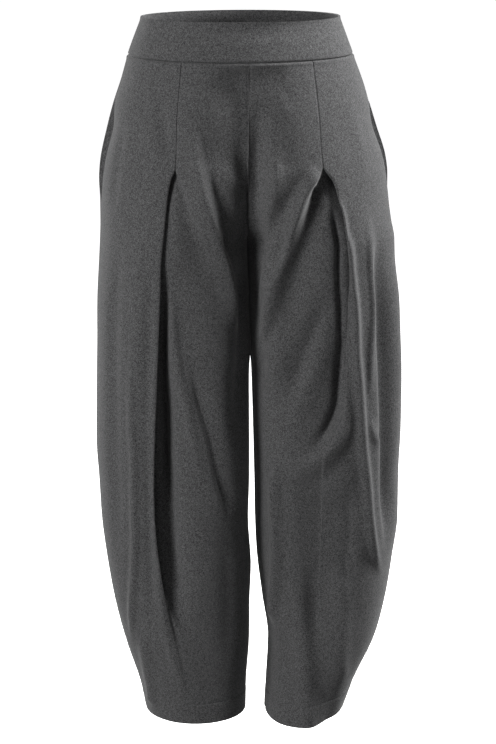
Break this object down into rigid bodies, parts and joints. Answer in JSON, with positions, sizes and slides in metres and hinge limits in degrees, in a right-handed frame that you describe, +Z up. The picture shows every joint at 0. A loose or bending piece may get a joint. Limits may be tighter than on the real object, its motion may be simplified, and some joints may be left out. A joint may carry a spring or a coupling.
{
  "type": "barrel-leg jersey trousers",
  "caption": "Pull-on jersey trousers with a smooth wide waistband, a deep pleat on each front, side pockets and full balloon legs that draw in to narrow open hems.",
  "frame": {"origin": "centre of the waistband's top rim, where the wearer's waist holds the trousers", "axes": "+Z up along the hanging garment, +X towards the wearer's left, +Y towards the back"},
  "size_m": [0.4258, 0.2684, 0.994],
  "materials": {
    "jersey": "matt brushed charcoal heather double-knit jersey",
    "waistband": "matt brushed charcoal heather double-knit jersey, doubled"
  },
  "bodies": {
    "root": {"waistband_front": "waistband", "waistband_back": "waistband", "front_right": "jersey", "front_left": "jersey", "back_right": "jersey", "back_left": "jersey", "pocket_facing_right": "jersey", "pocket_facing_left": "jersey"}
  },
  "joints": []
}
